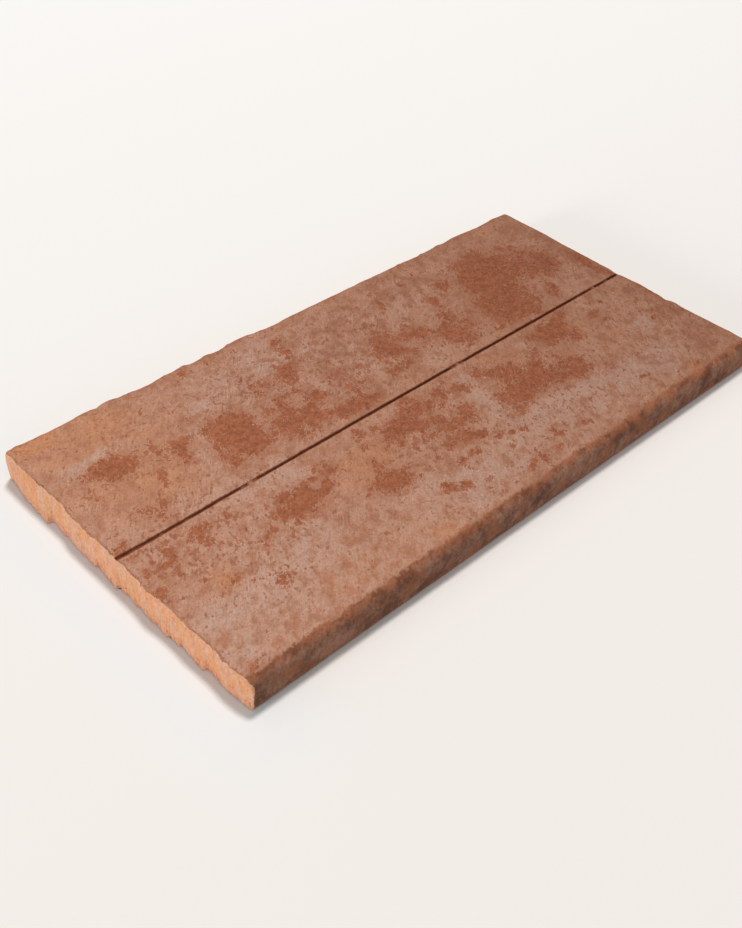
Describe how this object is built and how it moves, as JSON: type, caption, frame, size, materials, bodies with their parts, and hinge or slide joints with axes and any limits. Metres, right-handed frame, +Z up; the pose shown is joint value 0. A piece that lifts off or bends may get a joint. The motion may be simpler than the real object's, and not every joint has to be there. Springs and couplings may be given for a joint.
{
  "type": "terracotta nosing tile",
  "caption": "Long flat fired clay tile with a rounded nosing along its front edge, a narrow score groove in its walking face, raw cut ends and a wavy back edge.",
  "frame": {"origin": "middle of the tile's box on the bedding face, on the floor the tile lies on", "axes": "+X along the tile's length, +Y from the rounded nosing to the wavy back edge, +Z up out of the walking face"},
  "size_m": [0.5, 0.25, 0.022],
  "materials": {
    "terracotta": "unglazed, dry and matt, with a mottled fired skin and paler raw ends"
  },
  "bodies": {
    "root": {"floor_tile": "terracotta"}
  },
  "joints": []
}
